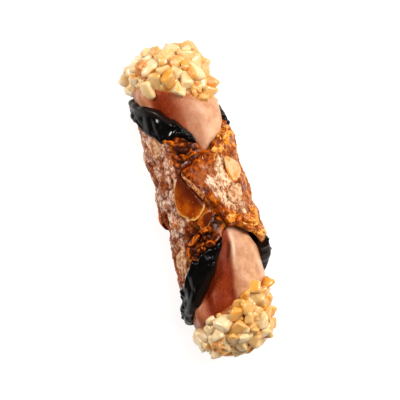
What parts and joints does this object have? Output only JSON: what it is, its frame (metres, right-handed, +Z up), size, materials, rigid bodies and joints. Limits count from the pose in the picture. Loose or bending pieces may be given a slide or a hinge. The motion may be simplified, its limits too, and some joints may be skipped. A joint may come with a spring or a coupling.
{
  "type": "cannolo",
  "caption": "Fried pastry tube wrapped round chocolate cream, rims dipped in dark chocolate, crust with flaked almonds, ends rolled in chopped almonds.",
  "frame": {"origin": "middle of the small flat on the underside that the cannolo rests on", "axes": "+X along the roll towards the head, the end away from the viewer; +Z up through the overlap at the front; the last corner of the dough comes over from the -Y side"},
  "size_m": [0.1299, 0.0411, 0.0378],
  "materials": {
    "crust": "fried crust, caramel brown with pale sugar frost, blistered, satin glaze in places",
    "cream": "smooth milk chocolate cream, soft satin",
    "chocolate": "glossy dark chocolate with lumps and drips",
    "almond": "ivory chopped almond with roasted golden faces, amber flakes with pale rims"
  },
  "bodies": {
    "root": {"shell": "crust", "cream": "cream", "chocolate_rim_head": "chocolate", "chocolate_rim_foot": "chocolate", "almond_flake_front": "almond", "almond_flake_small": "almond", "almond_flake_right": "almond", "almond_flake_right_low": "almond", "almond_flake_left": "almond", "almond_flake_left_high": "almond", "almond_flake_left_low": "almond", "almond_flake_back_right": "almond", "almond_flake_back_left": "almond"}
  },
  "joints": []
}
